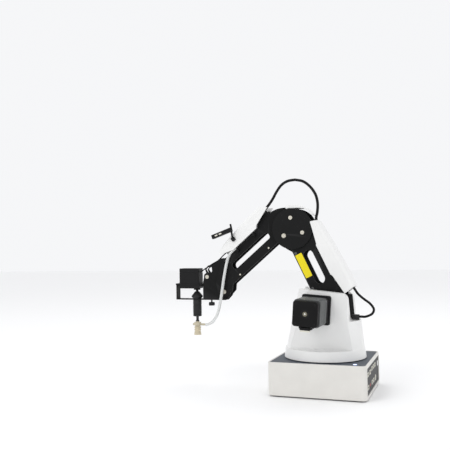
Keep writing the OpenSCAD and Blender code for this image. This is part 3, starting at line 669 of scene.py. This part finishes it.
def motor_cap(name, at):
    levels = [(STACK_OUT, 0.6), (STACK_OUT + 0.5, 0.1), (CAP_OUT - 1.6, 0.1), (CAP_OUT - 0.6, 0.45),
              (CAP_OUT - 0.2, 1.1)]
    cap = square_loft(19.7, 4.2, levels)
    fit(name + "_cap_cast", cap, "turret", "cap_black", at, nodes=(name + "_motor_cap",))


def motor_end(name, at, screw_nodes):
    """What shows on the end cap: a bearing ring, a hub, four screws and the shaft's end."""
    ring = [(6.4, -0.4), (6.4, 0.0), (5.9, 0.25), (4.6, 0.25), (4.3, 0), (4.2, -0.4)]
    hub = [(3.6, -0.4), (3.6, 0.1), (2.9, 0.35), (1.2, 0.4), (0, 0.4)]
    screw = [(1.4, -0.3), (1.4, 0.1), (1.15, 0.3), (0.6, 0.32), (0.55, 0.0), (0, 0)]
    shaft = [(1.3, 0.2), (1.3, 0.5), (0.9, 0.75), (0, 0.8)]
    middle, reach = (0, CAP_FACE, 0), 14.5
    fit(name + "_bearing_ring", turned(ring, middle, AXIS_LEFT), "turret", "cap_black", at)
    fit(name + "_motor_hub", turned(hub, middle, AXIS_LEFT), "turret", "steel", at, surface="hub_ivory")
    heads = [turned(screw, (x, CAP_FACE, z), AXIS_LEFT, 20) for x in (-reach, reach) for z in (-reach, reach)]
    fit(name + "_motor_screws", merged(heads), "turret", "steel", at, surface="cap_black", nodes=screw_nodes)
    fit(name + "_motor_shaft_end", turned(shaft, middle, AXIS_LEFT, 24), "turret", "steel", at)


for side, name, screw_nodes in ((1, "left", ("motor_screws",)), (-1, "right", ())):
    gearbox(name, motor_frame(side))
    motor_stack(name, motor_frame(side))
    motor_cap(name, motor_frame(side))
    motor_end(name, motor_frame(side), screw_nodes)

# ---- plugs under the motors, in (x0, x1, lowest, y0, y1) rows ----

PLUG_HOUSINGS = [(-8, 6.8, -27.4, 110, 118.4), (-6, 5, -24.6, 84, 97)]
PLUG_LATCHES = [(-11, -8.8, -23.6, 109.5, 117), (-8.5, 7.3, -24.8, 109.6, 118.8), (7.6, 11, -24, 98, 109),
                (-7, 4, -25.6, 76, 83.6)]
HOUSING_TOP, LATCH_TOP = -21, -20.8
FIRST_WIRE, WIRE_PITCH, WIRES, WIRE_RADIUS = -5.6, 3.4, 4, 0.55


def under_motor(side, rows, top, corner):
    """Blocks under one motor."""
    forms = [slab(block_outline(x0, x1, low, top, corner), y0, y1) for x0, x1, low, y0, y1 in rows]
    for form in forms:
        form.transform(motor_frame(side))
    return forms


def plug_wires(side):
    """The wires between one motor's two housings, drawn together towards the inner one."""
    wires = []
    for x in (FIRST_WIRE + WIRE_PITCH * k for k in range(WIRES)):
        path = [(x, 113, -25.4), (x, 112.4, -26.1), (x, 108, -26.0), (x * 0.8, 100, -24.6),
                (x * 0.6, 92, -23.0)]
        wire = tube(smooth_path(path, 3), WIRE_RADIUS, 8)
        wire.transform(motor_frame(side))
        wires.append(wire)
    return wires


def motor_plugs():
    housings, dark = [], []
    for side in (-1, 1):
        housings += under_motor(side, PLUG_HOUSINGS, HOUSING_TOP, 0.8)
        dark += plug_wires(side) + under_motor(side, PLUG_LATCHES, LATCH_TOP, 0.5)
    fit("motor_plug_housings", merged(housings), "turret", "connector_ivory", None, 0.4,
        nodes=("motor_plugs",))
    fit("motor_plug_wires", merged(dark), "turret", "lead_black")


motor_plugs()

# ---- pin heads and screws ----

# Distances out to the faces that heads sit on: elbow plates, wrist pin, bracket's ear, fore and rear plates.
ELBOW_FACE, WRIST_FACE, EAR_FACE, FORE_FACE, REAR_FACE = 18.7, 10.95, 7, 10.5, 16.2
EAR_PIN = Vector((33.6, 26.2))                          # from the wrist pin, forward and up


def dome(radius, height, steps=6):
    """Rows of a domed pin head: a short rim below a quarter ellipse."""
    sunk, rim = -0.3, 0.3
    rows = [(radius, sunk), (radius, height * rim)]
    rows += [(radius * math.cos(a), height * (rim + (1 - rim) * math.sin(a)))
             for a in (math.pi / 2 * k / steps for k in range(1, steps + 1))]
    return rows


def both_sides(profile, places, out, matrix, sides=32):
    """The same turned head on the left and right faces, at each (x, z) place."""
    forms = []
    for x, z in places:
        forms.append(turned(profile, (x, out, z), AXIS_LEFT, sides))
        forms.append(turned(profile, (x, -out, z), AXIS_RIGHT, sides))
    whole = merged(forms)
    whole.transform(matrix)
    return whole


def elbow_pin_heads():
    heads = both_sides(dome(3.4, 1.7), [(p.x, p.z) for p in (elbow, upper_pin, rear_pin)], ELBOW_FACE, LEVEL)
    fit("elbow_pin_heads", heads, "elbow", "steel", surface="pin_ivory")


def wrist_pin_heads():
    heads = both_sides(dome(3.8, 1.45), [(wrist.x, wrist.z)], WRIST_FACE, LEVEL)
    ear = both_sides(dome(3.4, 1.5), [(wrist.x + EAR_PIN.x, wrist.z + EAR_PIN.y)], EAR_FACE, LEVEL)
    fit("wrist_pin_heads", merged([heads, ear]), "wrist", "steel", surface="pin_ivory")


def fore_screws():
    rivet = [(1.5, 0.8), (1.5, 1.0), (1.2, 1.1), (0, 1.12)]
    heads = both_sides(rivet, [(35.5, 3.6), (105.4, 3.2)], FORE_FACE, FORE, 24)
    fit("fore_screws", heads, "forearm", "steel", surface="pin_ivory")


def rear_screws():
    low_head = [(1.9, -0.4), (1.9, 0.2), (1.6, 0.36), (1.0, 0.38), (0.9, 0.1), (0, 0.08)]
    heads = both_sides(low_head, [(-4.5, 34), (-4.5, 99)], REAR_FACE, REAR, 24)
    fit("rear_screws", heads, "rear_arm", "steel", surface="screw_dim")


def panel_screws():
    head = [(1.5, -0.3), (1.5, 0.2), (1.2, 0.5), (0.6, 0.55), (0.5, 0.1), (0, 0.1)]
    face = node_box("rear_panel")[0].x + 0.1
    forms = [turned(head, (face, y, z), AXIS_BACK, 20) for y in (-67.5, 67.5) for z in (10, 47)]
    fit("panel_screws", merged(forms), "base", "steel", surface="screw_dim")


elbow_pin_heads()
wrist_pin_heads()
fore_screws()
rear_screws()
panel_screws()

# ---- base panel ----

SHELL_BACK = node_box("base_shell")[0].x
RIM_HALF, RIM_LOW, RIM_HIGH, RIM_CORNER = 69.8, 7.2, 49.8, 2.5      # the rim's inner outline
RIM_WIDE = 1.3
RIM_FRONT, RIM_BACK = 0.9, -0.02                                    # measured in from the shell's back face
SOCKETS = [(52, 38, 7.5), (30, 38, 7.5), (52, 18, 7.5), (8, 40, 6.5), (-10, 40, 6.5), (-28, 40, 6.5),
           (8, 18, 6.5), (-10, 18, 6.5)]                            # y, z and the tongue's width


def panel_rim():
    """A thin light rim round the rear panel."""
    rows = []
    for wide, depth in ((0, RIM_FRONT), (0, RIM_BACK), (RIM_WIDE, RIM_BACK), (RIM_WIDE, RIM_FRONT)):
        outline = block_outline(-RIM_HALF - wide, RIM_HALF + wide, RIM_LOW - wide, RIM_HIGH + wide,
                                RIM_CORNER + wide)
        rows.append([Vector((SHELL_BACK + depth, p.x, p.y)) for p in outline])
    fit("panel_rim", loft(rows + rows[:1], caps=False), "base", "base_silver")


def socket_tongues():
    """Tongues in the panel's sockets, near black: painted shade for the sockets' shaded insides."""
    near, far, thick, corner = SHELL_BACK + 1.6, SHELL_BACK + 7, 0.7, 0.3
    tongues = [slab(block_outline(near, far, z - thick, z + thick, corner), y - wide / 2, y + wide / 2)
               for y, z, wide in SOCKETS]
    fit("socket_tongues", merged(tongues), "base", "connector_ivory", surface="painted_socket_shade")


panel_rim()
socket_tongues()

# ---- label ----

def label():
    """A plain yellow label with rounded corners and no lettering."""
    thick = 0.18
    plate = slab(block_outline(-14, -2, 53.5, 96, 1.2), REAR_FACE, REAR_FACE + thick)
    fit("label_plate", plate, "rear_arm", "label_yellow", REAR, nodes=("arm_label",))


label()

# ---- signal plug on the forearm ----

# Outlines in (x, z, corner radius) rows, and the distances out between which they lie.
POST = [(70.2, 55.2, 1), (72.6, 57.4, 1), (63.6, 72.2, 0.8), (61.2, 70.4, 0.8)]
LEVER = [(60.1, 73.6, 0.8), (62.9, 66.6, 0.8), (99.4, 80.5, 0.8), (96.7, 87.4, 0.8)]
HANDLE = [(55.9, 78.2, 1), (58.6, 79.6, 1), (63.9, 69.4, 0.8), (61.4, 68.0, 0.8)]
LEVER_IN, LEVER_OUT, POST_IN, POST_OUT = 19.6, 26.6, 22, 24.4


def signal_plug():
    """A post up to the lever's low end, the thicker lever, and a short handle beyond that end."""
    post = slab(rounded(POST), POST_IN, POST_OUT)
    lever = slab(rounded(LEVER), LEVER_IN, LEVER_OUT)
    handle = slab(rounded(HANDLE), POST_IN, POST_OUT)
    plug = merged([post, lever, handle])
    fit("signal_plug_body", plug, "forearm", "servo_black", FORE, 0.35, nodes=("signal_plug",))


def plug_windows():
    """Two pale windows along the middle of the lever's outer face."""
    along = Vector((36.5, 13.9)).normalized()
    up = Vector((-along.y, along.x)) * 1.1
    start, long = Vector((61.5, 70.05)), along * 5
    pale = []
    for reach in (19.5, 27.5):
        low = start + along * reach
        corners = [low - up, low + long - up, low + long + up, low + up]
        pale.append(slab(corners, LEVER_OUT - 0.05, LEVER_OUT + 0.15))
    fit("signal_plug_windows", merged(pale), "forearm", "connector_ivory", FORE)


signal_plug()
plug_windows()

# ---- servo ----

SERVO_X, SERVO_Z = (49, 87), (5.3, 41.6)        # the case, from the wrist pin
SERVO_HALF = 10
TAB_X, TAB_LOW, TAB_TOP, TAB_HALF = (42.3, 95), 11.7, 14.3, 9.5


def servo_case():
    """The servo's case in three layers with thin seams, and its mounting tabs."""
    (x0, x1), (z0, z1) = SERVO_X, SERVO_Z
    bottom, top, seam, inset = 7.2, 7.5, 0.3, 0.35
    layers = [(z0, z0 + bottom), (z0 + bottom + seam, z1 - top - seam), (z1 - top, z1)]
    forms = [slab(block_outline(x0, x1, low, high, 0.9), -SERVO_HALF, SERVO_HALF) for low, high in layers]
    core = block_outline(x0 + inset, x1 - inset, z0 + 1, z1 - 1, 0.6)
    forms.append(slab(core, inset - SERVO_HALF, SERVO_HALF - inset))
    forms.append(slab(block_outline(*TAB_X, TAB_LOW, TAB_TOP, 0.6), -TAB_HALF, TAB_HALF))
    fit("servo_case", merged(forms), "wrist", "servo_black", WRIST, 0.5, nodes=("servo",))


def servo_screws():
    """One screw in each tab and four small ones in the lid."""
    screw = [(2.4, -0.3), (2.4, 0.6), (1.9, 1.1), (0.9, 1.2), (0.8, 0.6), (0, 0.6)]
    small = [(1.4, -0.4), (1.4, 0.02), (1.1, 0.15), (0.5, 0.15), (0.45, -0.1), (0, -0.1)]
    heads = [turned(screw, (x, 0, TAB_TOP), AXIS_UP, 24) for x in (44.7, 91)]
    heads += [turned(small, (x, y, SERVO_Z[1]), AXIS_UP, 18) for x in (52, 84) for y in (-7, 7)]
    fit("servo_screws", merged(heads), "wrist", "steel", WRIST)


servo_case()
servo_screws()

# ---- tool, in (radius, height from the wrist pin) rows ----

def coupling_cap():
    cap = [(0, 0.2), (2.6, 0), (4.6, -1.2), (9.6, -7.4), (10.4, -8.8), (10.2, -10.2), (7.8, -12.2),
           (7.5, -13), (0, -13)]
    fit("coupling_dome", turned(cap, sides=56), "tool", "tool_black", TOOL, nodes=("coupling_cap",))


def tool_holder():
    """A chamfered barrel with two shallow grooves, below a short neck."""
    r, top, foot, chamfer, groove = 7.75, -15.3, -45, 0.8, 0.35
    barrel = [(0, top), (r - chamfer, top), (r, top - chamfer)]
    for z in (-24, -40.5):
        barrel += [(r, z), (r - groove, z - 0.3), (r - groove, z - 1.1), (r, z - 1.4)]
    barrel += [(r, foot + chamfer), (r - chamfer, foot), (0, foot)]
    neck = [(0, -12.9), (6.2, -12.9), (6.2, -15.4), (0, -15.4)]
    holder = merged([turned(barrel, sides=48), turned(neck, sides=40)])
    fit("tool_holder_turned", holder, "tool", "tool_black", TOOL, nodes=("tool_holder",))


def tool_rod():
    """A rod with a hexagonal nut at its foot."""
    rod = [(0, -44.8), (2.4, -44.8), (2.4, -54), (0, -54)]
    nut = [(0, -52.2), (3.4, -52.2), (3.6, -52.5), (3.6, -53.8), (0, -53.8)]
    forms = [turned(rod, sides=24), turned(nut, sides=6)]
    fit("tool_rod_turned", merged(forms), "tool", "tool_black", TOOL, nodes=("tool_rod",))


def air_fitting():
    """The fitting's body with a barbed spout behind and a plug ahead."""
    body = [(0, -54), (3.0, -54), (3.4, -54.5), (3.4, -55.2), (6.0, -55.6), (6.4, -56.2), (6.4, -60.8),
            (6.0, -61.3), (4.8, -61.7), (4.8, -63.4), (0, -63.4)]
    barb = [(0, 0), (2.3, 0), (2.3, 6.6), (1.7, 6.8), (1.7, 9.0), (2.15, 9.2), (1.6, 11.2), (2.15, 11.4),
            (1.6, 13.4), (2.1, 13.6), (1.5, 15.4), (0, 15.4)]
    plug = [(0, 0), (2.2, 0), (2.2, 7.4), (1.6, 7.6), (1.6, 8.8), (0, 9)]
    port = (0, 0, -59.8)
    forms = [turned(body, sides=40), turned(barb, port, AXIS_BACK, 28), turned(plug, port, AXIS_AHEAD, 28)]
    fit("air_fitting_moulded", merged(forms), "tool", "fitting_ivory", TOOL, nodes=("air_fitting",))


def suction_cup():
    """A stem, one bellows fold and the flared lip."""
    cup = [(0, -63.2), (4.4, -63.3), (5.6, -64), (6.4, -65), (6.2, -65.8), (5.3, -66.7), (5.15, -67.3),
           (5.5, -68), (6.3, -69.2), (6.3, -69.9), (5.5, -70.7), (5.2, -71.4), (5.4, -72.1), (6.0, -73.2),
           (6.3, -75.6), (6.6, -77.4), (6.75, -78.2), (6.3, -78.4), (5.7, -78.2), (5.2, -75.8), (4.2, -73.9),
           (2.4, -72.6), (0, -72.2)]
    fit("suction_cup_moulded", turned(cup, sides=56), "tool", "cup_beige", TOOL, nodes=("suction_cup",))


def thumb_screw():
    """A knurled knob on a plain stem."""
    knob = [(0, -19.2), (3.4, -19.2), (4.6, -19.5), (5.2, -20.1), (5.2, -24.8), (4.7, -25.4), (0, -25.5)]
    stem = [(0, -10.2), (1.45, -10.2), (1.45, -19.4), (0, -19.4)]
    forms = [turned(knob, sides=96, knurls=24, depth=0.035), turned(stem, sides=20)]
    place = Matrix.Translation(Vector((joint_at["thumb_screw_turn"].x, 0, wrist.z)))
    fit("thumb_screw_knurled", merged(forms), "thumb_screw", "tool_black", place, nodes=("thumb_screw",))


coupling_cap()
tool_holder()
tool_rod()
air_fitting()
suction_cup()
thumb_screw()

# ---- flexible leads: the routes of the CAD, in the object's own frame ----

ELBOW_ROUTE = [(112, 0, 294), (105.5, 0, 301.5), (97, 0, 310.5), (88, 0, 322), (79, 0, 337), (70, 0, 348),
               (59, 0, 354), (46, 0, 355.5), (32, 0, 352), (20, 0, 342.5), (11, 0, 329), (7.5, 0, 314),
               (8.2, 0, 299), (10.5, 0, 288), (8.5, 0, 277.5), (2.5, 0, 264), (-1.5, 0, 256)]
SHOULDER_ROUTE = [(-38, 0, 190), (-45, 0, 178), (-52, 0, 167.5), (-57, 0, 160), (-66, 0, 152),
                  (-76, 0, 144.5), (-82, 0, 135.5), (-79, 0, 127.5), (-69, 0, 122.8), (-62, 0, 122.6),
                  (-55, 0, 122.6)]
AIR_ROUTE = [(216.6, 0, 102.6), (211.5, 1, 103.2), (200, 10, 108.5), (190.5, 14.5, 118.5), (184.5, 16.6, 131),
             (180.5, 17, 148.5), (177.3, 17, 166), (174, 16.6, 187), (170, 14.2, 210), (166, 13.6, 224),
             (160, 13.4, 233), (152, 13.4, 240)]
SERVO_ROUTE = [(224.4, 3, 197), (221, 3, 199), (217, 2.5, 202), (213, 2, 204.5), (209, 1, 207), (203, 0, 211),
               (190, 0, 218), (182, 0, 225.5), (173, 0, 233)]
ELBOW_JOIN, AIR_JOIN = 7, 4         # the route's point where one stretch of a lead ends and the next begins
ELBOW_RADIUS, SHOULDER_RADIUS, AIR_RADIUS, SERVO_RADIUS = 2.4, 2, 2.6, 1


def bending(name, points, radius, slot, nodes=()):
    """A stretch of lead along a smooth path across the joint between two bodies, made as one fixed tube."""
    path = smooth_path(points)
    piece = add_mesh(name, tube(path, radius))
    dress(piece, slot, None, nodes)
    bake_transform(piece)


bending("elbow_lead_front", ELBOW_ROUTE[:ELBOW_JOIN + 1], ELBOW_RADIUS, "lead_black",
        ("elbow_lead",))
bending("elbow_lead_rear", ELBOW_ROUTE[ELBOW_JOIN:], ELBOW_RADIUS, "lead_black")
bending("shoulder_lead_bent", SHOULDER_ROUTE, SHOULDER_RADIUS, "lead_black",
        ("shoulder_lead",))
bending("air_tube_low", AIR_ROUTE[:AIR_JOIN + 1], AIR_RADIUS, "tube_clear", ("air_tube",))
bending("air_tube_high", AIR_ROUTE[AIR_JOIN:], AIR_RADIUS, "tube_clear")
bending("servo_lead_bent", SERVO_ROUTE, SERVO_RADIUS, "lead_black", ("servo_lead",))
